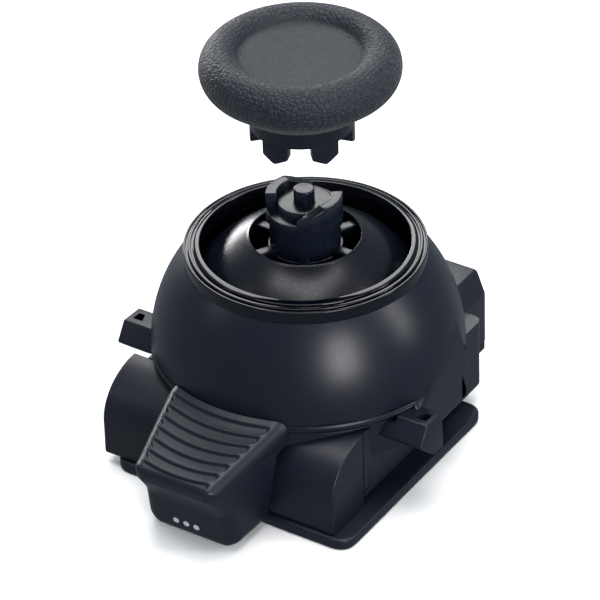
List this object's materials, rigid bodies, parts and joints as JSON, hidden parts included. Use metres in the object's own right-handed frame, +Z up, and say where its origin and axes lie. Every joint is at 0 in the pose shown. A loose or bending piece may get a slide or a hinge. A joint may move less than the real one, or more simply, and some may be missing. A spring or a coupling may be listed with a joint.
{
  "type": "thumb-stick module",
  "caption": "Drop-in thumb-stick module: a tilting, clicking stick in a domed housing, with a pull-off dished cap, a ribbed thumb button and a rear connector tower.",
  "frame": {"origin": "base plate's bottom face, on the stick's axis", "axes": "+Z up along the stick, towards the cap; +Y to the connector tower; the thumb button faces -Y"},
  "size_m": [0.0346, 0.0408, 0.0435],
  "materials": {
    "housing": "satin moulded ABS",
    "dome": "semi-gloss moulded",
    "ring": "polished",
    "grip": "grained",
    "button": "satin",
    "nylon": "natural moulded",
    "dark_nylon": "moulded",
    "steel": "stamped",
    "screw": "zinc plated",
    "board": "solder mask",
    "flex": "polyimide",
    "gold": "gold plated",
    "red": "moulded"
  },
  "bodies": {
    "chassis": {"base_plate": "housing", "plate_screws": "screw", "lower_frame": "housing", "front_housing": "housing", "dome_housing": "dome", "trim_ring": "ring", "rear_housing": "housing", "rear_tray": "housing", "connector_block": "dark_nylon", "contact_pins": "gold", "flex_ribbon": "flex", "main_board": "board", "gimbal_shield": "steel", "gimbal_frame": "dark_nylon", "gimbal_screws": "screw", "x_sensor": "dark_nylon", "y_sensor": "dark_nylon", "return_spring": "steel", "click_switch": "dark_nylon", "button_pin": "steel", "button_board": "board", "button_switch": "dark_nylon"},
    "lower_yoke": {"lower_yoke": "nylon", "x_rotor": "gold"},
    "pivot": {"pivot_block": "nylon"},
    "stick": {"stick_shaft": "steel", "stick_post": "dome", "dust_dome": "dome"},
    "cap": {"cap_core": "housing", "cap_grip": "grip"},
    "upper_yoke": {"upper_yoke": "nylon", "y_rotor": "gold"},
    "press_cup": {"press_cup": "dark_nylon", "click_plunger": "red"},
    "thumb_button": {"thumb_button": "button"},
    "button_plunger": {"button_plunger": "nylon"}
  },
  "joints": [
    {"name": "stick_tilt_x", "type": "hinge", "parent": "chassis", "child": "lower_yoke", "pos_m": [0, 0, 0.0106], "axis": [1, 0, 0], "range_deg": [-15, 15], "stiffness_Nm_per_rad": 0.04},
    {"name": "stick_tilt_y", "type": "hinge", "parent": "lower_yoke", "child": "pivot", "pos_m": [0, 0, 0.0106], "axis": [0, 1, 0], "range_deg": [-15, 15], "stiffness_Nm_per_rad": 0.04},
    {"name": "stick_press", "type": "slide", "parent": "pivot", "child": "stick", "axis": [0, 0, -1], "range_m": [0, 0.0005], "stiffness_N_per_m": 4000, "springref_m": -0.0002},
    {"name": "cap_lift", "type": "slide", "parent": "stick", "child": "cap", "axis": [0, 0, 1], "range_m": [-0.0115, 0]},
    {"name": "upper_yoke_turn", "type": "hinge", "parent": "chassis", "child": "upper_yoke", "pos_m": [0, 0, 0.0106], "axis": [0, 1, 0], "range_deg": [-15, 15]},
    {"name": "press_cup_drop", "type": "slide", "parent": "chassis", "child": "press_cup", "axis": [0, 0, -1], "range_m": [0, 0.0005], "deforming": ["return_spring"]},
    {"name": "thumb_button_press", "type": "hinge", "parent": "chassis", "child": "thumb_button", "pos_m": [0, -0.0126, 0.0062], "axis": [1, 0, 0], "range_deg": [0, 2.2], "stiffness_Nm_per_rad": 0.25, "springref_deg": -0.57},
    {"name": "button_switch_press", "type": "slide", "parent": "chassis", "child": "button_plunger", "axis": [0, 1, 0], "range_m": [0, 0.00015]}
  ],
  "couplings": [
    {"joint": "upper_yoke_turn", "follows": "stick_tilt_y", "ratio": 1},
    {"joint": "press_cup_drop", "follows": "stick_press", "ratio": 1},
    {"joint": "button_switch_press", "follows": "thumb_button_press", "m_per_rad": 0.0038}
  ]
}
